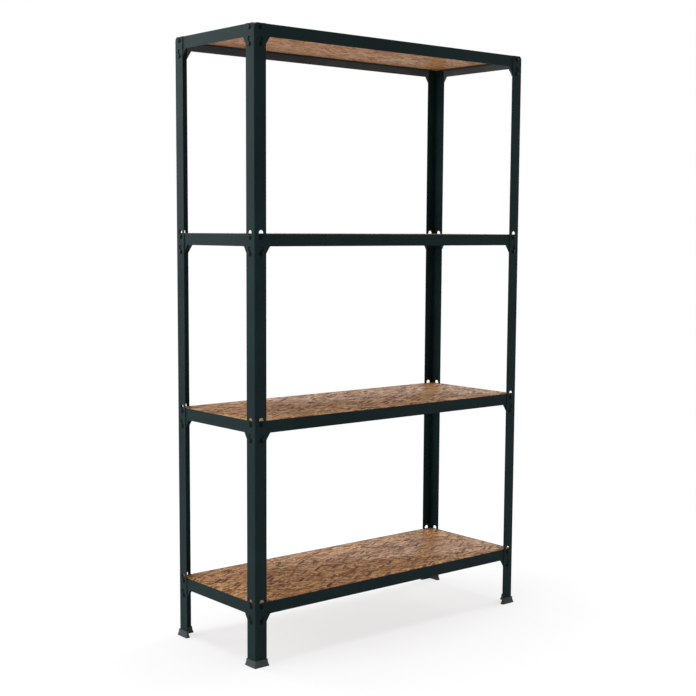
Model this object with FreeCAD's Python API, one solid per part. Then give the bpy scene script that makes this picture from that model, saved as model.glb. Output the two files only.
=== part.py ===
"""Boltless shelving unit: four angle posts, four levels of folded beams hung on studs
in keyholes, a loose board on each level and a moulded shoe under each post.

Origin: on the floor, at the middle of the footprint. X runs along the width, Y from the
front to the rear, Z up. All sizes are in millimetres.
"""
import FreeCAD, Part
import math
import os

V = FreeCAD.Vector

# The unit as a whole, measured over the posts
WIDTH = 800.0
DEPTH = 300.0

# Heights of the shelf tops: the lowest above the floor, then each one above the last
BOTTOM_SHELF_TOP = 140.0
LOWER_PITCH = 395.0
MIDDLE_PITCH = 395.0
UPPER_PITCH = 430.0

# Angle posts
POST_FLANGE = 30.0
POST_SHEET = 1.5
POST_BEND_INSIDE = 1.0
RIDGE_CLIP = 7.0

# Folded beams: an outer web with a closed fold on top and a ledge for the board
BEAM_HEIGHT = 26.5
BEAM_SHEET = 1.2
LEDGE_WIDTH = 14.0
FOLD_END_GAP = 2.0

# Tabs at the beam ends, which lie behind the post flanges
TAB_FROM_CORNER = 8.0
TAB_HEIGHT = 55.0
GUSSET_RUN = 11.0
GUSSET_DROP = 17.0

# Loose boards
BOARD_THICKNESS = 9.0
BOARD_GAP = 1.0

# Studs on the tabs, two at each end of a beam, each a head on a square neck
STUD_FROM_RIDGE = 17.0
STUD_BELOW_TOP = 8.0
STUD_SPACING = 34.0
NECK_WIDTH = 6.0
HEAD_DIAMETER = 11.0
HEAD_HEIGHT = 1.8
HEAD_SIDES = 8

# Keyholes in the posts
KEYHOLE_RISE = 9.7
NECK_CLEARANCE = 0.3
HEAD_CLEARANCE = 0.5

# Moulded shoes under the posts
SHOE_HEIGHT = 15.0
SHOE_SOLE = 4.0
SHOE_WALL = 2.0
SHOE_FLARE = 2.5
SHOE_RIM = 2.0
SHOE_CLEARANCE = 0.15

# Shelf levels from the top down
SHELF_TOPS = {
    "top": BOTTOM_SHELF_TOP + LOWER_PITCH + MIDDLE_PITCH + UPPER_PITCH,
    "upper": BOTTOM_SHELF_TOP + LOWER_PITCH + MIDDLE_PITCH,
    "lower": BOTTOM_SHELF_TOP + LOWER_PITCH,
    "bottom": BOTTOM_SHELF_TOP,
}
# Corners in order round the plan, each a quarter turn on from the last
CORNERS = ("front_left", "front_right", "rear_right", "rear_left")


def closed_run(points):
    """A closed wire of straight edges through the points."""
    return Part.makePolygon([*points, points[0]])


def polygon_face(points):
    """A flat face inside a closed run of straight edges."""
    return Part.Face(closed_run(points))


def at_corner(shape, index):
    """A copy of a shape drawn about a post's ridge, turned into its corner of the plan."""
    placed = shape.copy()
    placed.rotate(V(0, 0, 0), V(0, 0, 1), 90.0 * index)
    side_x = 1 if CORNERS[index].endswith("right") else -1
    side_y = 1 if CORNERS[index].startswith("rear") else -1
    placed.translate(V(side_x * WIDTH / 2, side_y * DEPTH / 2, 0))
    return placed


def angle_outline(grow, height):
    """The sharp outline of the angle section, grown outwards on every side."""
    far = POST_FLANGE + grow
    near = POST_SHEET + grow
    corners = [(-grow, -grow), (far, -grow), (far, near), (near, near), (near, far), (-grow, far)]
    return [V(x, y, height) for x, y in corners]


def rounded_angle_face(height):
    """The angle section with its bend: an outer arc at the ridge and an inner arc."""
    sheet, flange = POST_SHEET, POST_FLANGE
    outer = POST_BEND_INSIDE + POST_SHEET
    diagonal = 1 - math.sqrt(0.5)
    ridge = Part.Arc(
        V(0, outer, height), V(outer * diagonal, outer * diagonal, height), V(outer, 0, height)
    )
    middle = sheet + POST_BEND_INSIDE * diagonal
    throat = Part.Arc(V(outer, sheet, height), V(middle, middle, height), V(sheet, outer, height))
    front = Part.makePolygon(
        [V(outer, 0, height), V(flange, 0, height), V(flange, sheet, height), V(outer, sheet, height)]
    )
    side = Part.makePolygon(
        [V(sheet, outer, height), V(sheet, flange, height), V(0, flange, height), V(0, outer, height)]
    )
    edges = [ridge.toShape(), *front.Edges, throat.toShape(), *side.Edges]
    return Part.Face(Part.Wire(edges))


def stud_heights(shelf_top):
    """Heights of the upper and the lower stud of one level."""
    upper = shelf_top - STUD_BELOW_TOP
    return upper, upper - STUD_SPACING


def keyhole(height):
    """A cutter through the flange along X: a round mouth above a slot that the neck drops into."""
    half = NECK_WIDTH / 2 + NECK_CLEARANCE
    seat = height - NECK_WIDTH / 2
    mouth = HEAD_DIAMETER / 2 + HEAD_CLEARANCE
    centre = height + KEYHOLE_RISE
    shoulder = centre - math.sqrt(mouth**2 - half**2)

    def point(side, level):
        return V(STUD_FROM_RIDGE + side, -POST_SHEET, level)

    top = Part.Arc(point(half, shoulder), point(0, centre + mouth), point(-half, shoulder))
    slot = Part.makePolygon(
        [point(-half, shoulder), point(-half, seat), point(half, seat), point(half, shoulder)]
    )
    outline = Part.Wire([top.toShape(), *slot.Edges])
    return Part.Face(outline).extrude(V(0, 3 * POST_SHEET, 0))


def other_flange(shape):
    """The mirror image of a shape across the post's diagonal, for the flange along Y."""
    return shape.mirror(V(0, 0, 0), V(1, -1, 0))


def ridge_clip(top):
    """A cutter for the slanted clip that takes the corner off a flange at the top of the ridge."""
    clip = RIDGE_CLIP
    outline = [(-clip, top - 2 * clip), (2 * clip, top + clip), (-clip, top + clip)]
    face = polygon_face([V(x, -POST_SHEET, z) for x, z in outline])
    return face.extrude(V(0, POST_BEND_INSIDE + 2 * POST_SHEET, 0))


def make_post():
    """One angle post about its ridge, with a pair of keyholes in each flange at each level."""
    top = SHELF_TOPS["top"]
    post = rounded_angle_face(SHOE_SOLE).extrude(V(0, 0, top - SHOE_SOLE))
    cutters = [keyhole(height) for level in SHELF_TOPS.values() for height in stud_heights(level)]
    cutters.append(ridge_clip(top))
    cutters += [other_flange(cutter) for cutter in cutters]
    return post.cut(cutters)


def flared_solid(bottom, top):
    """A solid with flat flared sides between two outlines that have the same corners."""
    sides = [
        polygon_face([bottom[i - 1], bottom[i], top[i], top[i - 1]]) for i in range(len(bottom))
    ]
    return Part.Solid(Part.Shell([polygon_face(bottom), *sides, polygon_face(top)]))


def make_shoe():
    """One shoe about the post's ridge: a rim, flared walls and a pocket for the post's end."""
    foot_print = SHOE_WALL + SHOE_FLARE
    rim = polygon_face(angle_outline(foot_print, 0)).extrude(V(0, 0, SHOE_RIM))
    walls = flared_solid(angle_outline(foot_print, SHOE_RIM), angle_outline(SHOE_WALL, SHOE_HEIGHT))
    pocket = polygon_face(angle_outline(SHOE_CLEARANCE, SHOE_SOLE))
    return rim.fuse(walls).removeSplitter().cut(pocket.extrude(V(0, 0, SHOE_HEIGHT)))


def beam_section(start):
    """The beam's section across its length: web, closed fold on top, ledge under the board."""
    fold = 2 * BEAM_SHEET
    ledge_top = -BOARD_THICKNESS
    ledge_end = fold + LEDGE_WIDTH

    def point(inwards, height):
        return V(start, inwards, height)

    crown = Part.Arc(point(0, -BEAM_SHEET), point(BEAM_SHEET, 0), point(fold, -BEAM_SHEET))
    rest = Part.makePolygon([
        point(fold, -BEAM_SHEET),
        point(fold, ledge_top),
        point(ledge_end, ledge_top),
        point(ledge_end, ledge_top - BEAM_SHEET),
        point(BEAM_SHEET, ledge_top - BEAM_SHEET),
        point(BEAM_SHEET, -BEAM_HEIGHT),
        point(0, -BEAM_HEIGHT),
        point(0, -BEAM_SHEET),
    ])
    return Part.Face(Part.Wire([crown.toShape(), *rest.Edges]))


def beam_tab():
    """The flat tab at a beam's left end, with its gusset running out below the web."""
    fold_start = POST_FLANGE + FOLD_END_GAP
    gusset_foot = POST_FLANGE - (TAB_HEIGHT - BEAM_HEIGHT - GUSSET_DROP) * GUSSET_RUN / GUSSET_DROP
    outline = [
        (TAB_FROM_CORNER, 0),
        (fold_start, 0),
        (fold_start, -BEAM_HEIGHT),
        (POST_FLANGE + GUSSET_RUN, -BEAM_HEIGHT),
        (gusset_foot, -TAB_HEIGHT),
        (TAB_FROM_CORNER, -TAB_HEIGHT),
    ]
    return polygon_face([V(x, 0, z) for x, z in outline]).extrude(V(0, BEAM_SHEET, 0))


def make_beam(span):
    """A beam that reaches over a span of the unit, its outer face on Y = 0 and its top on Z = 0."""
    fold_start = POST_FLANGE + FOLD_END_GAP
    body = beam_section(fold_start).extrude(V(span - 2 * fold_start, 0, 0))
    left_tab = beam_tab()
    right_tab = left_tab.mirror(V(span / 2, 0, 0), V(1, 0, 0))
    beam = body.fuse([left_tab, right_tab]).removeSplitter()
    beam.translate(V(-span / 2, 0, 0))
    return beam


def placed_beam(beam, turns, reach, shelf_top):
    """A copy of a beam on its side of the unit, its web against the insides of the flanges."""
    placed = beam.copy()
    placed.translate(V(0, POST_SHEET - reach / 2, shelf_top))
    placed.rotate(V(0, 0, 0), V(0, 0, 1), 90.0 * turns)
    return placed


def make_stud(height):
    """One headed stud: its square neck stands on the tab and its head bears on the post's face."""
    corner = V(-NECK_WIDTH / 2, 0, -NECK_WIDTH / 2)
    neck = Part.makeBox(NECK_WIDTH, POST_SHEET, NECK_WIDTH, corner)
    radius = HEAD_DIAMETER / 2
    angles = [2 * math.pi * (i + 0.5) / HEAD_SIDES for i in range(HEAD_SIDES)]
    ring = [V(radius * math.cos(a), -HEAD_HEIGHT, radius * math.sin(a)) for a in angles]
    stud = polygon_face(ring).extrude(V(0, HEAD_HEIGHT, 0)).fuse(neck)
    stud.translate(V(STUD_FROM_RIDGE, 0, height))
    return stud


def make_level_studs(shelf_top):
    """All the studs of one level, as separate solids."""
    one_flange = [make_stud(height) for height in stud_heights(shelf_top)]
    one_post = one_flange + [other_flange(stud) for stud in one_flange]
    return Part.makeCompound([at_corner(stud, i) for i in range(len(CORNERS)) for stud in one_post])


def make_board(shelf_top):
    """One loose board, flush with the fold of the beams round it and resting on their ledges."""
    inset = POST_SHEET + 2 * BEAM_SHEET + BOARD_GAP
    corner = V(inset - WIDTH / 2, inset - DEPTH / 2, shelf_top - BOARD_THICKNESS)
    return Part.makeBox(WIDTH - 2 * inset, DEPTH - 2 * inset, BOARD_THICKNESS, corner)


def all_pieces():
    """Every sub-part by name."""
    pieces = {}
    post, shoe = make_post(), make_shoe()
    for index, corner in enumerate(CORNERS):
        pieces[f"{corner}_post"] = at_corner(post, index)
        pieces[f"{corner}_foot"] = at_corner(shoe, index)
    long_beam, short_beam = make_beam(WIDTH), make_beam(DEPTH)
    for level, shelf_top in SHELF_TOPS.items():
        pieces[f"{level}_front_beam"] = placed_beam(long_beam, 0, DEPTH, shelf_top)
        pieces[f"{level}_right_beam"] = placed_beam(short_beam, 1, WIDTH, shelf_top)
        pieces[f"{level}_rear_beam"] = placed_beam(long_beam, 2, DEPTH, shelf_top)
        pieces[f"{level}_left_beam"] = placed_beam(short_beam, 3, WIDTH, shelf_top)
        pieces[f"{level}_board"] = make_board(shelf_top)
        pieces[f"{level}_studs"] = make_level_studs(shelf_top)
    return pieces


os.makedirs("parts", exist_ok=True)
for name, shape in all_pieces().items():
    shape.exportStep(f"parts/{name}.step")
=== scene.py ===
"""Finishes a boltless shelving unit: powder-coated posts and beams, strand boards, studs, shoes.

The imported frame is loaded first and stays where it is. Every new piece is a surface worked out
with numpy, in metres, in the frame's own coordinates: X along the width, Y from the front to the
rear, Z up.
"""
import math

import bpy
import numpy as np
from bpy.props import FloatProperty, FloatVectorProperty, IntProperty, PointerProperty
from mathutils import Matrix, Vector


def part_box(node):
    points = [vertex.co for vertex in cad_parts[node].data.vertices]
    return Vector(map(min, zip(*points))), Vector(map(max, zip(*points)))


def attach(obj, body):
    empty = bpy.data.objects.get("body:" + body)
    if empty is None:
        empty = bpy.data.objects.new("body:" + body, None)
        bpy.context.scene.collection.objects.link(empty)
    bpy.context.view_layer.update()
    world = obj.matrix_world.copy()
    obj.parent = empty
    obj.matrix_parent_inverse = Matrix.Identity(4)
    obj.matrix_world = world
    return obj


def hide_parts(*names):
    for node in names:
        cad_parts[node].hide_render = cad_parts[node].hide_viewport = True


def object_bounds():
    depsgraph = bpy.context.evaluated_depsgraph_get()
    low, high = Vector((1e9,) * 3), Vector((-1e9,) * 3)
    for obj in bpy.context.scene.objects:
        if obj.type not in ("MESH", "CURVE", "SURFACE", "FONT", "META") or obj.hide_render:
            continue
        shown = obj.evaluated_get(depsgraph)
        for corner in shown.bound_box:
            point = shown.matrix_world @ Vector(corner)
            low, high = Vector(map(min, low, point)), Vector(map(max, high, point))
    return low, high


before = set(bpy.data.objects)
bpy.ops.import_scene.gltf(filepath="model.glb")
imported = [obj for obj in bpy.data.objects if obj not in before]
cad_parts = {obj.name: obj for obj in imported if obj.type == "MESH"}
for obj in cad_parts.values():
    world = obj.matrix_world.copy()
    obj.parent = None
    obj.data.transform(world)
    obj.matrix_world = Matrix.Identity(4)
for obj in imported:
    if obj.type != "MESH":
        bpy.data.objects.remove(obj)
CAD_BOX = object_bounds()

bl_info = {
    "name": "Strand Board Shelving",
    "version": (1, 0, 0),
    "blender": (4, 5, 0),
    "location": "View3D > Sidebar > Shelving",
    "description": "Finishes a boltless shelving unit with coated steel, strand boards and shoes",
    "category": "Object",
}

# Names of the levels from the bottom up, and of the corners, as the frame has them
BOARD_NODES = [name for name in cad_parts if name.endswith("_board")]
LEVELS = [
    name.removesuffix("_board") for name in sorted(BOARD_NODES, key=lambda n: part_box(n)[1].z)
]
CORNERS = ("front_left", "front_right", "rear_right", "rear_left")
COATED_NODES = [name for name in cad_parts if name.endswith(("_post", "_beam"))]
STUDS_PER_LEVEL = 16

# Soft lamps: name, place, size and power
LAMPS = (
    ("left_lamp", (-3.4, 0.4, 1.4), 2.2, 70.0),
    ("right_lamp", (3.4, 0.3, 1.5), 2.0, 84.0),
    ("back_lamp", (-1.6, 3.2, 1.9), 2.2, 40.0),
    ("top_lamp", (-0.2, 0.1, 4.2), 2.6, 124.0),
)

# Layers of strands from the lowest up: turn in degrees, share of the cells that hold one, and size
STRAND_LAYERS = (
    (62.0, 0.90, 1.0),
    (-38.0, 0.80, 1.0),
    (14.0, 0.80, 1.0),
    (-71.0, 0.55, 0.9),
    (-19.0, 0.68, 0.9),
    (36.0, 0.60, 0.8),
    (-52.0, 0.48, 0.8),
    (5.0, 0.58, 0.75),
    (-28.0, 0.48, 0.65),
    (50.0, 0.38, 0.6),
    (-9.0, 0.45, 0.55),
    (22.0, 0.36, 0.5),
)
# Layers of thin dark slivers on top of them
SLIVER_LAYERS = ((-24.0, 0.15, 1.3), (17.0, 0.17, 0.6), (66.0, 0.10, 0.9))
# Lowest and highest tone of each kind, from 0, darkest, to 1, palest
STRAND_TONES = (0.17, 0.92)
SLIVER_TONES = (0.02, 0.31)
# Tone that the underside's strands draw near to: painted light, which sets how bright the underside
# looks in place of the light that reaches it
PAINTED_UNDERSIDE_TONE = 0.58
# Board faces lie further apart than this grid, so that each face gets strands of its own
FACES_PER_METRE = 200.0
FACE_SHIFT = 0.26

# Place of each material in a board's list: flat top, sawn edge and underside
FACE_SLOT, EDGE_SLOT, UNDER_SLOT = range(3)
# Edges sharper than this are not smoothed over
SHARP_EDGE = math.radians(40.0)


def screen_colour(red, green, blue):
    """A colour picked on screen, 0 to 255, as the linear values that a shader works in."""
    share = np.array([red, green, blue]) / 255
    return tuple(np.where(share <= 0.04045, share / 12.92, ((share + 0.055) / 1.055) ** 2.4))


def colour_property(name, description, picked):
    """A colour setting with its default as picked on screen."""
    return FloatVectorProperty(
        name=name,
        description=description,
        default=screen_colour(*picked),
        subtype="COLOR",
        min=0,
        max=1,
    )


def length_property(name, description, default):
    """A length setting in metres."""
    return FloatProperty(
        name=name, description=description, default=default, min=0, unit="LENGTH", precision=5
    )


class ShelvingSizes(bpy.types.PropertyGroup):
    """Sizes of the pieces that are added to the frame."""

    board_ease: length_property("Board Ease", "How far the boards' arrises are rubbed down", 0.0007)
    board_chip: length_property("Board Chip", "Depth of the deepest chip along an arris", 0.0012)
    board_step: length_property("Board Step", "Spacing of the points round a board", 0.004)
    strand_length: length_property("Strand Length", "Room along a wood strand", 0.066)
    strand_width: length_property("Strand Width", "Room across a wood strand", 0.021)
    sliver_length: length_property("Sliver Length", "Room along a dark sliver", 0.030)
    sliver_width: length_property("Sliver Width", "Room across a dark sliver", 0.0098)
    stud_rim: length_property("Stud Rim", "Height of a stud head's rim below its dome", 0.0006)
    stud_neck: length_property("Stud Neck", "Radius of a stud's neck", 0.003)
    stud_sides: IntProperty(
        name="Stud Sides", description="Sides round a stud head", default=20, min=8, max=48
    )
    post_sheet: length_property("Post Sheet", "Sheet thickness of the angle posts", 0.0015)
    shoe_wall: length_property("Shoe Wall", "Wall of a shoe at its top", 0.002)
    shoe_sole: length_property("Shoe Sole", "Thickness of a shoe under the post's end", 0.004)
    shoe_rim: length_property("Shoe Rim", "Height of the upright rim on the floor", 0.0018)
    shoe_gap: length_property("Shoe Gap", "Clearance between a shoe and its post", 0.00015)
    shoe_round: length_property("Shoe Round", "Radius of a shoe's corners", 0.0014)


class ShelvingColours(bpy.types.PropertyGroup):
    """Colours of the finishes."""

    coat: colour_property("Coat", "Powder coat of the posts and beams", (22, 37, 39))
    # Painted bounce light: a paler colour for the beams' inner faces, standing for light thrown back
    # onto them from the floor
    inside: colour_property("Inside", "Painted bounce light on the beams' inner faces", (84, 85, 87))
    # Stud heads: near-black, far darker than the posts' coat
    stud: colour_property("Stud", "Coat of the stud heads", (8, 13, 14))
    shoe: colour_property("Shoe", "Moulded plastic of the shoes", (58, 64, 63))
    strand_pale: colour_property("Pale Strand", "Palest wood strands", (208, 165, 100))
    strand_honey: colour_property("Honey Strand", "Light wood strands", (175, 122, 59))
    strand_tan: colour_property("Tan Strand", "Most of the wood strands", (143, 91, 39))
    strand_russet: colour_property("Russet Strand", "Darker wood strands", (100, 57, 23))
    strand_dark: colour_property("Dark Strand", "Darkest wood strands and slivers", (48, 27, 12))


class ShelvingStage(bpy.types.PropertyGroup):
    """The floor, the light and the camera."""

    floor: colour_property("Floor", "Pale floor under the unit", (236, 236, 236))
    floor_half: length_property("Floor Half Width", "Half the width of the floor", 14.0)
    ambient: FloatProperty(
        name="Ambient", description="Strength of the even light from all sides", default=0.28
    )
    camera_place: FloatVectorProperty(
        name="Camera Place",
        description="Where the camera stands",
        default=(-1.9836, -2.3506, 0.9397),
        subtype="TRANSLATION",
        unit="LENGTH",
    )
    camera_heading: FloatProperty(
        name="Camera Heading",
        description="Turn of the camera from the depth towards the width",
        default=math.radians(39.871),
        subtype="ANGLE",
    )
    camera_dip: FloatProperty(
        name="Camera Dip",
        description="How far the camera looks below the horizon",
        default=math.radians(6.182),
        subtype="ANGLE",
    )
    camera_roll: FloatProperty(
        name="Camera Roll",
        description="Turn of the camera about its line of sight",
        default=math.radians(0.32),
        subtype="ANGLE",
    )
    camera_lens: FloatProperty(
        name="Camera Lens", description="Focal length in millimetres", default=67.07
    )
    camera_shift: FloatProperty(
        name="Camera Shift", description="Upright shift of the lens", default=0.0316
    )


# Numpy surfaces


def ring_faces(rings, count):
    """Quads between closed rings of count points each, as whole arrays of point numbers."""
    ring, step = np.meshgrid(np.arange(rings - 1), np.arange(count), indexing="ij")
    after = (step + 1) % count
    low, high = ring * count, (ring + 1) * count
    return np.stack([low + step, low + after, high + after, high + step], -1).reshape(-1, 4)


def revolved(profile, sides):
    """A profile of (radius, height) pairs carried round the Z axis, closed at a pole on each end.

    The first and the last pair lie on the axis and become single points; each pair between them
    becomes a ring: x = radius cos(angle), y = radius sin(angle), z = height.
    """
    profile = np.asarray(profile)
    angle = np.linspace(0, 2 * np.pi, sides, endpoint=False)
    radius, height = profile[1:-1, :1], profile[1:-1, 1:]
    rings = np.stack(
        [radius * np.cos(angle), radius * np.sin(angle), height + 0 * angle], -1
    ).reshape(-1, 3)
    poles = np.array([[0, 0, profile[0, 1]], [0, 0, profile[-1, 1]]])
    points = np.concatenate([rings, poles])
    count = len(profile) - 2
    step = np.arange(sides)
    after = (step + 1) % sides
    last = (count - 1) * sides
    start_pole, end_pole = count * sides, count * sides + 1
    start = np.stack([np.full(sides, start_pole), after, step], -1)
    end = np.stack([np.full(sides, end_pole), last + step, last + after], -1)
    return points, [*ring_faces(count, sides).tolist(), *start.tolist(), *end.tolist()]


def copies(points, faces, centres, axes):
    """One shape set down many times: each copy is centre + x axis_0 + y axis_1 + z axis_2."""
    placed = centres[:, None, :] + np.einsum("pk,nkc->npc", points, axes)
    number = len(points)
    all_faces = [[corner + n * number for corner in f] for n in range(len(centres)) for f in faces]
    return placed.reshape(-1, 3), all_faces


def new_piece(name, points, faces, materials, body, node):
    """A mesh object at the origin that stands for a node of the frame and moves with its body."""
    mesh = bpy.data.meshes.new(name)
    mesh.from_pydata(np.asarray(points).tolist(), [], faces)
    mesh.validate()
    for material in materials:
        mesh.materials.append(material)
    mesh.shade_smooth()
    mesh.set_sharp_from_angle(angle=SHARP_EDGE)
    piece = bpy.data.objects.new(name, mesh)
    bpy.context.scene.collection.objects.link(piece)
    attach(piece, body)
    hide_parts(node)
    return piece


# Shader nodes


class Bench:
    """Adds nodes to one tree and joins them, so that a material reads as a list of steps."""

    def __init__(self, tree):
        self.tree = tree

    def add(self, kind, inputs=(), **options):
        """A new node with its options set, and each input set to a value or joined to a socket."""
        node = self.tree.nodes.new(kind)
        for option, value in options.items():
            setattr(node, option, value)
        for key, value in dict(inputs).items():
            if isinstance(value, bpy.types.NodeSocket):
                self.tree.links.new(value, node.inputs[key])
            else:
                node.inputs[key].default_value = value
        return node

    def math(self, operation, *values):
        """One step of arithmetic."""
        return self.add("ShaderNodeMath", enumerate(values), operation=operation).outputs[0]

    def ramp(self, value, low, high, start=0.0, end=1.0):
        """A value eased from start to end as it goes from low to high."""
        inputs = {"Value": value, "From Min": low, "From Max": high, "To Min": start, "To Max": end}
        return self.add("ShaderNodeMapRange", inputs, interpolation_type="SMOOTHSTEP").outputs[0]

    def between(self, share, first, second):
        """A value part of the way from the first to the second."""
        return self.add("ShaderNodeMix", {0: share, 2: first, 3: second}).outputs[0]

    def tint(self, share, first, second):
        """A colour part of the way from the first to the second."""
        inputs = {0: share, 6: first, 7: second}
        return self.add("ShaderNodeMix", inputs, data_type="RGBA").outputs[2]

    def vector(self, x, y, z):
        """A vector from three values."""
        return self.add("ShaderNodeCombineXYZ", {0: x, 1: y, 2: z}).outputs[0]

    def parts(self, vector):
        """The three values of a vector."""
        return self.add("ShaderNodeSeparateXYZ", {0: vector}).outputs

    def noise(self, vector, scale, detail=2.0):
        """A cloudy value between 0 and 1."""
        inputs = {"Vector": vector, "Scale": scale, "Detail": detail}
        return self.add("ShaderNodeTexNoise", inputs).outputs["Fac"]

    def chance(self, vector):
        """Four random values that are the same for equal vectors."""
        drawn = self.add("ShaderNodeTexWhiteNoise", {"Vector": vector}, noise_dimensions="3D")
        split = self.add("ShaderNodeSeparateColor", {0: drawn.outputs["Color"]})
        return [drawn.outputs["Value"], *split.outputs]

    def place(self):
        """The point on the piece, in metres."""
        return self.add("ShaderNodeTexCoord").outputs["Object"]


def new_group(name, inputs, outputs):
    """An empty node group with named sockets: the group, its bench, and its own sockets."""
    group = bpy.data.node_groups.new(name, "ShaderNodeTree")
    for label, kind in inputs:
        group.interface.new_socket(label, in_out="INPUT", socket_type=f"NodeSocket{kind}")
    for label, kind in outputs:
        group.interface.new_socket(label, in_out="OUTPUT", socket_type=f"NodeSocket{kind}")
    bench = Bench(group)
    given = bench.add("NodeGroupInput").outputs
    return group, bench, given


def shared_group(name, build):
    """A node group by name, built the first time that it is asked for."""
    return bpy.data.node_groups.get(name) or build(name)


def new_material(name):
    """An empty material: the material, its bench and its shader."""
    material = bpy.data.materials.new(name)
    material.use_nodes = True
    material.node_tree.nodes.clear()
    bench = Bench(material.node_tree)
    shader = bench.add("ShaderNodeBsdfPrincipled")
    bench.add("ShaderNodeOutputMaterial", {"Surface": shader.outputs[0]})
    return material, bench, shader


def join(bench, shader, **sockets):
    """Joins values to a shader's inputs, which are named with underscores for spaces."""
    for label, value in sockets.items():
        bench.tree.links.new(value, shader.inputs[label.replace("_", " ")])


def build_peel_group(name):
    """Fine peel of a sprayed or moulded skin, with clouds in it.

    Peel is a sum of two noises, one grain and a third of a grain wide. Cloud is a broad noise.
    """
    group, bench, given = new_group(
        name,
        [("Place", "Vector"), ("Grains per Metre", "Float"), ("Clouds per Metre", "Float")],
        [("Peel", "Float"), ("Cloud", "Float")],
    )
    coarse = bench.noise(given["Place"], given["Grains per Metre"])
    fine = bench.noise(given["Place"], bench.math("MULTIPLY", given["Grains per Metre"], 3.1), 1.0)
    peel = bench.math("MULTIPLY_ADD", fine, 0.35, coarse)
    cloud = bench.noise(given["Place"], given["Clouds per Metre"], 4.0)
    bench.add("NodeGroupOutput", {"Peel": peel, "Cloud": cloud})
    return group


def build_strand_group(name):
    """One layer of wood strands laid over what is below.

    The plane is turned and cut into rows of cells, each row shifted by chance. A cell holds a
    strand or none: a strip, tilted and shifted a little, with torn ends. Its tone is drawn by
    chance between two limits and lies mostly near the higher one, its grain is a noise drawn out
    along it, and it darkens what lies just beside it: a painted shadow round its edge.
    """
    inputs = [
        ("Place", "Vector"),
        ("Turn", "Float"),
        ("Seed", "Float"),
        ("Length", "Float"),
        ("Width", "Float"),
        ("Share", "Float"),
        ("Tone Low", "Float"),
        ("Tone High", "Float"),
        ("Tone", "Float"),
        ("Height", "Float"),
    ]
    group, bench, given = new_group(name, inputs, [("Tone", "Float"), ("Height", "Float")])
    math_step = bench.math
    # Shares of a cell
    most_lean, most_shift = 1.2, 0.16
    least_half_length, more_half_length, torn_end = 0.33, 0.14, 0.07
    least_half_width, more_half_width = 0.11, 0.18
    # Metres from a strand's outline
    soft_edge, painted_shadow_reach = 0.0002, 0.0014
    # Tones
    grain_depth, painted_shadow_depth = 0.30, 0.22
    # A shift far below a strand's size makes each layer wait for the one below it, so that
    # the values of all the layers are never held at once
    settled = bench.add(
        "ShaderNodeVectorMath",
        {0: given["Height"], 1: (1e-7, 1e-7, 1e-7), 2: given["Place"]},
        operation="MULTIPLY_ADD",
    ).outputs[0]
    turned = bench.add(
        "ShaderNodeVectorRotate",
        {"Vector": settled, "Angle": given["Turn"]},
        rotation_type="Z_AXIS",
    ).outputs[0]
    u, v, height = bench.parts(turned)
    face = math_step("FLOOR", math_step("MULTIPLY_ADD", height, FACES_PER_METRE, FACE_SHIFT))
    seed = math_step("MULTIPLY_ADD", face, 3.7, given["Seed"])

    across = math_step("DIVIDE", v, given["Width"])
    row = math_step("FLOOR", across)
    row_shift = bench.chance(bench.vector(row, seed, 0.5))[0]
    along = math_step("MULTIPLY_ADD", row_shift, 9.0, math_step("DIVIDE", u, given["Length"]))
    column = math_step("FLOOR", along)
    held, tilt, shift, size = bench.chance(bench.vector(column, row, seed))

    a = math_step("SUBTRACT", math_step("FRACT", along), 0.5)
    b = math_step("SUBTRACT", math_step("FRACT", across), 0.5)
    lean = math_step("MULTIPLY", math_step("SUBTRACT", tilt, 0.5), most_lean)
    b = math_step("MULTIPLY_ADD", a, lean, b)
    b = math_step("MULTIPLY_ADD", math_step("SUBTRACT", shift, 0.5), most_shift, b)
    torn = bench.noise(bench.vector(math_step("MULTIPLY", v, 420.0), column, row), 1.0, 1.0)
    half_length = math_step("MULTIPLY_ADD", shift, more_half_length, least_half_length)
    half_length = math_step("MULTIPLY_ADD", torn, torn_end, half_length)
    half_width = math_step("MULTIPLY_ADD", size, more_half_width, least_half_width)
    end_room = math_step("SUBTRACT", half_length, math_step("ABSOLUTE", a))
    side_room = math_step("SUBTRACT", half_width, math_step("ABSOLUTE", b))
    inside = math_step(
        "MINIMUM",
        math_step("MULTIPLY", end_room, given["Length"]),
        math_step("MULTIPLY", side_room, given["Width"]),
    )
    here = math_step("GREATER_THAN", given["Share"], held)
    mask = math_step("MULTIPLY", here, bench.ramp(inside, -soft_edge, soft_edge))
    # Painted shadow: a narrow band just outside the strand's outline, where the tone below is
    # darkened
    beside = math_step("MULTIPLY", here, bench.ramp(inside, -painted_shadow_reach, 0.0))

    drawn = math_step("DIVIDE", held, given["Share"])
    mostly_high = math_step("POWER", drawn, 0.5)
    tone = bench.between(mostly_high, given["Tone Low"], given["Tone High"])
    grain_place = bench.vector(
        math_step("MULTIPLY", u, 26.0),
        math_step("MULTIPLY", v, 620.0),
        math_step("MULTIPLY", drawn, 40.0),
    )
    grain = math_step("SUBTRACT", bench.noise(grain_place, 1.0, 3.0), 0.5)
    tone = math_step("MULTIPLY_ADD", grain, grain_depth, tone)
    # The painted shadow darkens the tone below just outside the strand
    painted_shadow_tone = math_step("SUBTRACT", given["Tone"], math_step("MULTIPLY", beside, painted_shadow_depth))
    lower = math_step("MULTIPLY", given["Height"], 0.65)
    upper = math_step("MULTIPLY_ADD", size, 0.5, 0.5)
    bench.add(
        "NodeGroupOutput",
        {"Tone": bench.between(mask, painted_shadow_tone, tone), "Height": bench.between(mask, lower, upper)},
    )
    return group


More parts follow.
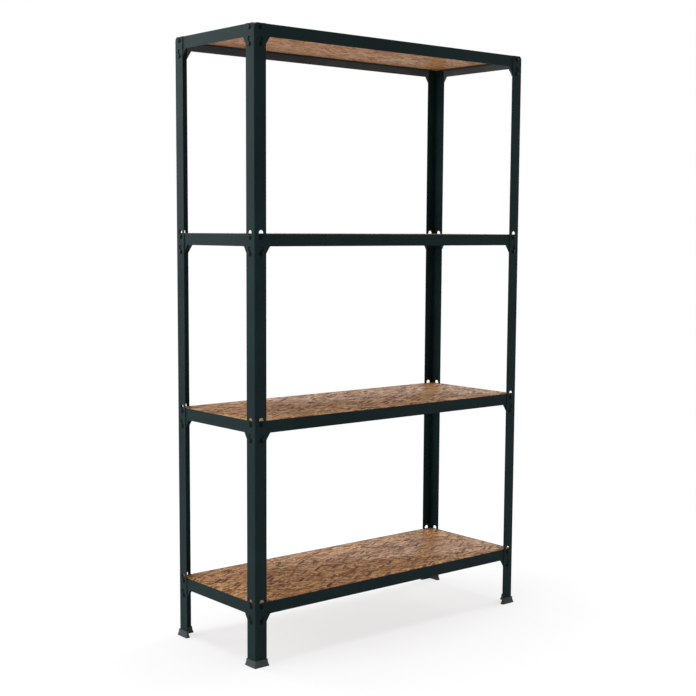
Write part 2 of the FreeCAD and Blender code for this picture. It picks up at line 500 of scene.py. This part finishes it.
def wood_colours(bench, tone, colours):
    """The colour of wood for a tone from 0, darkest, to 1, palest."""
    stops = (
        (0.0, colours.strand_dark),
        (0.28, colours.strand_russet),
        (0.52, colours.strand_tan),
        (0.76, colours.strand_honey),
        (1.0, colours.strand_pale),
    )
    node = bench.add("ShaderNodeValToRGB", {"Fac": tone})
    elements = node.color_ramp.elements
    while len(elements) < len(stops):
        elements.new(0.5)
    for element, (position, colour) in zip(elements, stops):
        element.position = position
        element.color = (*colour, 1)
    return node.outputs["Color"]


def strand_face_material(name, sizes, colours, evenness, dullness):
    """Flat faces of a strand board: layers of strands in many directions, then dark slivers.

    Evenness draws all tones near to one, which on the underside is painted light that sets how
    bright it looks, and dullness makes the face rougher.
    """
    material, bench, shader = new_material(name)
    group = shared_group("strand_layer", build_strand_group)
    place = bench.place()
    broad = bench.noise(place, 5.0, 2.0)
    tone, height = bench.ramp(broad, 0.2, 0.8, 0.26, 0.40), 0.1
    layers = [
        (*layer, sizes.strand_length, sizes.strand_width, *STRAND_TONES) for layer in STRAND_LAYERS
    ]
    layers += [
        (*layer, sizes.sliver_length, sizes.sliver_width, *SLIVER_TONES) for layer in SLIVER_LAYERS
    ]
    for number, (turn, share, size, length, width, tone_low, tone_high) in enumerate(layers):
        inputs = {
            "Place": place,
            "Turn": math.radians(turn),
            "Seed": 11.3 * number + 1.0,
            "Length": size * length,
            "Width": size * width,
            "Share": share,
            "Tone Low": tone_low,
            "Tone High": tone_high,
            "Tone": tone,
            "Height": height,
        }
        laid = bench.add("ShaderNodeGroup", inputs, node_tree=group).outputs
        tone, height = laid["Tone"], laid["Height"]
    toned = bench.math("MULTIPLY_ADD", bench.math("SUBTRACT", broad, 0.5), 0.25, tone)
    # Painted light: on the underside the tones are drawn to one tone that sets how bright it looks
    toned = bench.between(evenness, toned, PAINTED_UNDERSIDE_TONE)
    bump = bench.add("ShaderNodeBump", {"Strength": 0.3, "Distance": 0.0005, "Height": height})
    join(
        bench,
        shader,
        Base_Color=wood_colours(bench, toned, colours),
        Roughness=bench.ramp(tone, 0.0, 0.9, 0.85 + dullness, 0.38 + dullness),
        Normal=bump.outputs[0],
    )
    shader.inputs["Specular IOR Level"].default_value = 0.38
    return material


def sawn_edge_material(colours):
    """Sawn edges of a strand board: strands cut across show as thin level streaks and pores."""
    material, bench, shader = new_material("sawn_edge")
    place = bench.place()
    x, y, z = bench.parts(place)
    streak_place = bench.vector(
        bench.math("MULTIPLY", x, 45.0),
        bench.math("MULTIPLY", y, 45.0),
        bench.math("MULTIPLY", z, 1500.0),
    )
    streaks = bench.noise(streak_place, 1.0, 3.0)
    pores = bench.ramp(bench.noise(place, 900.0, 2.0), 0.58, 0.70)
    tone = bench.ramp(streaks, 0.25, 0.75, 0.12, 0.92)
    tone = bench.math("SUBTRACT", tone, bench.math("MULTIPLY", pores, 0.35))
    bump = bench.add("ShaderNodeBump", {"Strength": 0.6, "Distance": 0.0005, "Height": tone})
    join(
        bench,
        shader,
        Base_Color=wood_colours(bench, tone, colours),
        Roughness=bench.ramp(tone, 0.0, 1.0, 0.9, 0.72),
        Normal=bump.outputs[0],
    )
    shader.inputs["Specular IOR Level"].default_value = 0.2
    return material


def bounce_light_share(bench, clear):
    """1 on the beams' upright faces that look towards the middle of the unit, clear of the posts:
    where the painted bounce light goes.
    """
    place = bench.parts(bench.place())
    facing = bench.parts(bench.add("ShaderNodeTexCoord").outputs["Normal"])
    shares = []
    for across, along in ((0, 1), (1, 0)):
        outwards = bench.math("MULTIPLY", bench.math("SIGN", place[across]), facing[across])
        inside = bench.math("LESS_THAN", bench.math("ABSOLUTE", place[along]), clear[along])
        shares.append(bench.math("MULTIPLY", inside, bench.ramp(outwards, -0.6, -0.9)))
    return bench.math("MAXIMUM", *shares)


def skin_material(name, colour, grains, bump_strength, rough, shine, inside=None):
    """A sprayed or moulded skin: one colour in soft clouds, with a fine peel in it.

    Grains are counted per metre, and rough is the roughness of the smoothest and the roughest
    cloud. A beam's inner faces can be given painted bounce light, a paler colour that stands for
    light thrown back onto them from the floor, given with how far it reaches.
    """
    material, bench, shader = new_material(name)
    group = shared_group("fine_peel", build_peel_group)
    inputs = {"Place": bench.place(), "Grains per Metre": grains, "Clouds per Metre": 9.0}
    skin = bench.add("ShaderNodeGroup", inputs, node_tree=group)
    darker = tuple(0.80 * part for part in colour)
    lighter = tuple(1.18 * part for part in colour)
    share = bench.ramp(skin.outputs["Cloud"], 0.3, 0.7)
    flecked = bench.between(0.35, share, skin.outputs["Peel"])
    bump = bench.add(
        "ShaderNodeBump",
        {"Strength": bump_strength, "Distance": 0.0003, "Height": skin.outputs["Peel"]},
    )
    clouded = bench.tint(flecked, (*darker, 1), (*lighter, 1))
    # Painted bounce light: the beams' inner faces are drawn, in patches, towards a paler colour that
    # stands for light from the floor
    if inside:
        bounce_colour, clear = inside
        patchy_bounce = bench.ramp(share, 0.0, 1.0, 0.75, 1.0)
        thin = bench.math("MULTIPLY", bounce_light_share(bench, clear), patchy_bounce)
        clouded = bench.tint(thin, clouded, (*bounce_colour, 1))
    join(
        bench,
        shader,
        Base_Color=clouded,
        Roughness=bench.ramp(skin.outputs["Cloud"], 0.25, 0.75, *rough),
        Normal=bump.outputs[0],
    )
    shader.inputs["Specular IOR Level"].default_value = shine
    return material


# Pieces


class CoatFrame(bpy.types.Operator):
    """Gives the posts and the beams their powder coat, with painted bounce light on the beams' inner
    faces
    """

    bl_idname = "shelving.coat_frame"
    bl_label = "Coat Posts and Beams"

    def execute(self, context):
        colours = context.scene.shelving_colours
        coat = {
            "colour": colours.coat,
            "grains": 1100.0,
            "bump_strength": 0.12,
            "rough": (0.36, 0.50),
            "shine": 0.05,
        }
        post_low, post_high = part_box("front_right_post")
        clear = (post_low.x, -post_high.y)
        post_coat = skin_material("post_coat", **coat)
        beam_coat_with_painted_bounce = skin_material("beam_coat_with_painted_bounce", **coat, inside=(colours.inside, clear))
        for name in COATED_NODES:
            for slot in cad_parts[name].material_slots:
                slot.material = beam_coat_with_painted_bounce if name.endswith("_beam") else post_coat
        return {"FINISHED"}


def board_surface(low, high, sizes, seed):
    """A board as a rectangle carried up its thickness, with rubbed and chipped arrises.

    Each ring is the rectangle drawn in by an inset. The inset is a share of the ease plus the
    chips, which are a seeded random value to a high power, so that most of them are small.
    Returns the points, the faces and each face's place in the list of materials.
    """
    low_plan, high_plan = np.array(low)[:2], np.array(high)[:2]
    corners = np.array(
        [low_plan, (high_plan[0], low_plan[1]), high_plan, (low_plan[0], high_plan[1])]
    )
    outwards = np.array([(0, -1), (1, 0), (0, 1), (-1, 0)])
    lengths = np.abs(np.roll(corners, -1, 0) - corners).max(1)
    counts = np.ceil(lengths / sizes.board_step).astype(int)
    run = np.concatenate(
        [np.linspace(corners[i], corners[(i + 1) % 4], counts[i], endpoint=False) for i in range(4)]
    )
    facing = np.repeat(outwards, counts, axis=0)
    chance = np.random.default_rng(seed)
    chips = sizes.board_chip * chance.random((2, len(run))) ** 7
    chips = (np.roll(chips, 1, 1) + 2 * chips + np.roll(chips, -1, 1)) / 4

    ease, thickness = sizes.board_ease, high.z - low.z
    level = np.array([0, 0.45 * ease, 1.5 * ease])
    level = low.z + np.concatenate([level, thickness - level[::-1]])
    inset = ease * np.array([1, 0.3, 0, 0, 0.3, 1])
    depth = np.array([1, 0.6, 0, 0, 0.6, 1])
    chip = np.concatenate([np.repeat(chips[:1], 3, 0), np.repeat(chips[1:], 3, 0)])
    plan = run - facing * (chip * depth[:, None])[:, :, None]
    edge = inset[:, None, None]
    plan = np.clip(plan, low_plan + edge, high_plan - edge)
    height = np.broadcast_to(level[:, None, None], (*plan.shape[:2], 1))
    points = np.concatenate([plan, height], -1).reshape(-1, 3)

    number, rings = len(run), len(level)
    sides = ring_faces(rings, number)
    under = np.arange(number)[::-1].tolist()
    over = ((rings - 1) * number + np.arange(number)).tolist()
    sawn = np.arange(rings - 1) == rings // 2 - 1
    slots = np.repeat(np.where(sawn, EDGE_SLOT, FACE_SLOT), number).tolist()
    return points, [*sides.tolist(), under, over], [*slots, UNDER_SLOT, FACE_SLOT]


class BuildBoards(bpy.types.Operator):
    """Makes the strand boards that lie loose on the beams"""

    bl_idname = "shelving.build_boards"
    bl_label = "Build Boards"

    def execute(self, context):
        sizes, colours = context.scene.shelving_sizes, context.scene.shelving_colours
        materials = [
            strand_face_material("strand_face", sizes, colours, evenness=0.0, dullness=0.0),
            sawn_edge_material(colours),
            # The underside is a copy of the face with its tones drawn to one tone: painted light
            strand_face_material(
                "strand_underside_painted_light", sizes, colours, evenness=0.55, dullness=0.04
            ),
        ]
        for number, level in enumerate(LEVELS):
            node = f"{level}_board"
            points, faces, slots = board_surface(*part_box(node), sizes, number)
            body = f"{level}_shelf_board"
            piece = new_piece(
                f"{level}_strand_board", points, faces, materials, body, node
            )
            piece.data.polygons.foreach_set("material_index", slots)
        return {"FINISHED"}


def stud_places(level):
    """Where the studs of a level sit, from the frame: centre on the post's face, axes and sizes."""
    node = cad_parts[f"{level}_studs"]
    points = np.empty(len(node.data.vertices) * 3, np.float32)
    node.data.vertices.foreach_get("co", points)
    studs = points.reshape(STUDS_PER_LEVEL, -1, 3).astype(float)
    low, high = studs.min(1), studs.max(1)
    each = np.arange(STUDS_PER_LEVEL)
    axis = (high - low).argmin(1)
    side = np.sign((low + high)[each, axis])
    posts = [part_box(f"{corner}_post") for corner in CORNERS]
    post_reach = np.abs(np.array(posts)).max((0, 1))
    centres = (low + high) / 2
    centres[each, axis] = side * post_reach[axis]
    outwards = np.zeros_like(centres)
    outwards[each, axis] = side
    upwards = np.broadcast_to([0.0, 0.0, 1.0], outwards.shape)
    axes = np.stack([np.cross(upwards, outwards), upwards, outwards], 1)
    tip = np.where(side > 0, high[each, axis], -low[each, axis])
    root = np.where(side > 0, low[each, axis], -high[each, axis])
    head_height = (tip - post_reach[axis]).mean()
    neck_length = (post_reach[axis] - root).mean()
    head_radius = (high - low).max() / 2
    return centres, axes, head_height, head_radius, neck_length


def stud_profile(sizes, head_height, head_radius, neck_length):
    """Half the outline of a stud: neck, flat underside, short rim and a quarter ellipse as dome."""
    turn = np.linspace(0, np.pi / 2, 6)
    dome_height = head_height - sizes.stud_rim
    dome = np.stack([head_radius * np.cos(turn), sizes.stud_rim + dome_height * np.sin(turn)], -1)
    dome[-1, 0] = 0
    neck = [(0, -neck_length), (sizes.stud_neck, -neck_length), (sizes.stud_neck, 0)]
    return np.concatenate([neck, [(head_radius, 0)], dome])


class BuildStuds(bpy.types.Operator):
    """Makes the domed studs that hold the beams in the posts' keyholes"""

    bl_idname = "shelving.build_studs"
    bl_label = "Build Studs"

    def execute(self, context):
        sizes, colours = context.scene.shelving_sizes, context.scene.shelving_colours
        finish = skin_material(
            "stud_coat",
            colours.stud,
            grains=1600.0,
            bump_strength=0.08,
            rough=(0.34, 0.46),
            shine=0.04,
        )
        for level in LEVELS:
            centres, axes, head_height, head_radius, neck_length = stud_places(level)
            profile = stud_profile(sizes, head_height, head_radius, neck_length)
            stud = revolved(profile, sizes.stud_sides)
            points, faces = copies(*stud, centres, axes)
            node = f"{level}_studs"
            new_piece(f"{level}_domed_studs", points, faces, [finish], "frame", node)
        return {"FINISHED"}


def angle_runs(flange, sheet, grow, radius, steps):
    """Outlines of the angle section, one for each amount of growth, with rounded corners.

    A corner with the unit run d0 into it and d1 out of it is rounded by the quarter circle
    corner - d0 r (1 - sin t) + d1 r (1 - cos t).
    """
    grow, radius = np.asarray(grow)[:, None], np.asarray(radius)[:, None, None, None]
    near, far, back = sheet + grow, flange + grow, -grow
    x = np.concatenate([back, far, far, near, near, back], 1)
    y = np.concatenate([back, back, near, near, far, far], 1)
    corners = np.stack([x, y], -1)
    out_of = np.roll(corners, -1, 1) - corners
    out_of = out_of / np.linalg.norm(out_of, axis=-1, keepdims=True)
    into = np.roll(out_of, 1, 1)
    turn = np.linspace(0, np.pi / 2, steps)[:, None]
    rounded = (
        corners[:, :, None]
        - into[:, :, None] * radius * (1 - np.sin(turn))
        + out_of[:, :, None] * radius * (1 - np.cos(turn))
    )
    return rounded.reshape(len(grow), -1, 2)


def shoe_surface(flange, height, foot_print, sizes):
    """A shoe about its post's ridge: the angle section carried along the wall's own outline.

    The wall rises from a rim, draws in as the square of the height that is left, rolls over at
    the top and goes down to the floor of the pocket. Two flat faces close the sole and the pocket.
    """
    rise = np.linspace(0, 1, 9)
    lip = 0.0005
    flare_top = height - lip
    flare_height = sizes.shoe_rim + (flare_top - sizes.shoe_rim) * rise
    flare_grow = sizes.shoe_wall + (foot_print - sizes.shoe_wall) * (1 - rise) ** 2.2
    bottom = [(foot_print - 0.5 * lip, 0), (foot_print, 0.5 * lip)]
    top = [
        (sizes.shoe_wall - 0.3 * lip, height - 0.3 * lip),
        (sizes.shoe_wall - lip, height),
        (sizes.shoe_gap + 0.5 * lip, height),
        (sizes.shoe_gap, height - lip),
        (sizes.shoe_gap, sizes.shoe_sole),
    ]
    outline = np.concatenate([bottom, np.stack([flare_grow, flare_height], -1), top])
    grow, level = outline.T
    full_round = sizes.shoe_round * np.clip(grow / sizes.shoe_wall, 0.05, 1.5)
    plan = angle_runs(flange, sizes.post_sheet, grow, full_round, steps=5)
    upright = np.broadcast_to(level[:, None, None], (*plan.shape[:2], 1))
    points = np.concatenate([plan, upright], -1).reshape(-1, 3)
    number = plan.shape[1]
    walls = ring_faces(len(level), number).tolist()
    sole = np.arange(number)[::-1].tolist()
    pocket = ((len(level) - 1) * number + np.arange(number)).tolist()
    return points, [*walls, sole, pocket]


class BuildShoes(bpy.types.Operator):
    """Makes the moulded shoes under the posts"""

    bl_idname = "shelving.build_shoes"
    bl_label = "Build Shoes"

    def execute(self, context):
        sizes, colours = context.scene.shelving_sizes, context.scene.shelving_colours
        plastic = skin_material(
            "moulded_plastic",
            colours.shoe,
            grains=2200.0,
            bump_strength=0.10,
            rough=(0.46, 0.60),
            shine=0.15,
        )
        for index, corner in enumerate(CORNERS):
            post_low, post_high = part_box(f"{corner}_post")
            shoe_low, shoe_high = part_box(f"{corner}_foot")
            flange = post_high.x - post_low.x
            foot_print = (shoe_high.x - shoe_low.x - flange) / 2
            points, faces = shoe_surface(flange, shoe_high.z - shoe_low.z, foot_print, sizes)
            ridge_x = post_high.x if corner.endswith("right") else post_low.x
            ridge_y = post_high.y if corner.startswith("rear") else post_low.y
            turn = np.array(Matrix.Rotation(math.radians(90 * index), 3, "Z"))
            points = points @ turn.T + (ridge_x, ridge_y, shoe_low.z)
            node = f"{corner}_foot"
            new_piece(f"{corner}_shoe", points, faces, [plastic], "frame", node)
        return {"FINISHED"}


def seen_rays(bench):
    """1 on rays that show the backdrop itself: from the camera, in a reflection or through glass."""
    path = bench.add("ShaderNodeLightPath").outputs
    seen = bench.math("MAXIMUM", path["Is Camera Ray"], path["Is Glossy Ray"])
    return bench.math("MAXIMUM", seen, path["Is Transmission Ray"])


def floor_material(colour):
    """A pale floor that keeps the shadow near the unit and fades to white further out."""
    material, bench, shader = new_material("pale_floor")
    place = bench.place()
    speckle = bench.noise(place, 220.0, 2.0)
    paler = tuple(1.03 * part for part in colour)
    x, y, _ = bench.parts(place)
    away = bench.add("ShaderNodeVectorMath", {0: bench.vector(x, y, 0.0)}, operation="LENGTH")
    fade = bench.ramp(away.outputs["Value"], 0.6, 2.0, 0.72, 1.0)
    glow = bench.add("ShaderNodeEmission")
    share = bench.math("MULTIPLY", fade, seen_rays(bench))
    mixed = bench.add("ShaderNodeMixShader", {0: share, 1: shader.outputs[0], 2: glow.outputs[0]})
    output = next(n for n in bench.tree.nodes if n.type == "OUTPUT_MATERIAL")
    bench.tree.links.new(mixed.outputs[0], output.inputs["Surface"])
    join(bench, shader, Base_Color=bench.tint(speckle, (*colour, 1), (*paler, 1)))
    shader.inputs["Roughness"].default_value = 0.9
    shader.inputs["Specular IOR Level"].default_value = 0.1
    return material


def white_surroundings(scene, ambient):
    """A world that looks white and gives an even light at its own strength."""
    scene.world = bpy.data.worlds.new("studio")
    scene.world.use_nodes = True
    tree = scene.world.node_tree
    tree.nodes.clear()
    bench = Bench(tree)
    white = (1, 1, 1, 1)
    even = bench.add("ShaderNodeBackground", {"Color": white, "Strength": ambient})
    shown = bench.add("ShaderNodeBackground", {"Color": white, "Strength": 1.0})
    inputs = {0: seen_rays(bench), 1: even.outputs[0], 2: shown.outputs[0]}
    mixed = bench.add("ShaderNodeMixShader", inputs)
    bench.add("ShaderNodeOutputWorld", {"Surface": mixed.outputs[0]})


class BuildStage(bpy.types.Operator):
    """Makes the floor, the soft lamps, the white surroundings and the camera"""

    bl_idname = "shelving.build_stage"
    bl_label = "Build Stage"

    def execute(self, context):
        scene, stage = context.scene, context.scene.shelving_stage
        half = stage.floor_half
        ground = CAD_BOX[0].z
        plan = ((-half, -half), (half, -half), (half, half), (-half, half))
        corners = [(x, y, ground) for x, y in plan]
        mesh = bpy.data.meshes.new("floor")
        mesh.from_pydata(corners, [], [(0, 1, 2, 3)])
        mesh.materials.append(floor_material(stage.floor))
        floor = bpy.data.objects.new("floor", mesh)
        scene.collection.objects.link(floor)

        middle = (CAD_BOX[0] + CAD_BOX[1]) / 2
        for name, place, size, power in LAMPS:
            data = bpy.data.lights.new(name, "AREA")
            data.shape, data.size, data.energy = "DISK", size, power
            lamp = bpy.data.objects.new(name, data)
            lamp.location = place
            lamp.rotation_euler = (middle - lamp.location).to_track_quat("-Z", "Y").to_euler()
            scene.collection.objects.link(lamp)

        data = bpy.data.cameras.new("camera")
        data.lens, data.sensor_width, data.shift_y = stage.camera_lens, 36.0, stage.camera_shift
        camera = bpy.data.objects.new("camera", data)
        scene.collection.objects.link(camera)
        camera.matrix_world = (
            Matrix.Translation(stage.camera_place)
            @ Matrix.Rotation(-stage.camera_heading, 4, "Z")
            @ Matrix.Rotation(math.pi / 2 - stage.camera_dip, 4, "X")
            @ Matrix.Rotation(stage.camera_roll, 4, "Z")
        )
        scene.camera = camera
        white_surroundings(scene, stage.ambient)
        scene.view_settings.view_transform = "Standard"
        return {"FINISHED"}


class ShelvingPanel(bpy.types.Panel):
    """Steps and settings of the shelving unit"""

    bl_idname = "VIEW3D_PT_shelving"
    bl_label = "Shelving"
    bl_space_type = "VIEW_3D"
    bl_region_type = "UI"
    bl_category = "Shelving"

    def draw(self, context):
        for step in STEPS:
            self.layout.operator(step.bl_idname)
        for settings in SETTINGS:
            group = getattr(context.scene, settings)
            for name in group.bl_rna.properties.keys():
                if name not in ("rna_type", "name"):
                    self.layout.prop(group, name)


SETTINGS = {
    "shelving_sizes": ShelvingSizes,
    "shelving_colours": ShelvingColours,
    "shelving_stage": ShelvingStage,
}
STEPS = (CoatFrame, BuildBoards, BuildStuds, BuildShoes, BuildStage)


def register():
    """Registers the classes and hangs the settings on the scene."""
    for kind in (*SETTINGS.values(), *STEPS, ShelvingPanel):
        bpy.utils.register_class(kind)
    for name, kind in SETTINGS.items():
        setattr(bpy.types.Scene, name, PointerProperty(type=kind))


def unregister():
    """Takes the settings and the classes away again."""
    for name in SETTINGS:
        delattr(bpy.types.Scene, name)
    for kind in reversed((*SETTINGS.values(), *STEPS, ShelvingPanel)):
        bpy.utils.unregister_class(kind)


def main():
    """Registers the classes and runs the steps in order."""
    register()
    bpy.ops.shelving.coat_frame()
    bpy.ops.shelving.build_boards()
    bpy.ops.shelving.build_studs()
    bpy.ops.shelving.build_shoes()
    bpy.ops.shelving.build_stage()


if __name__ == "__main__":
    main()
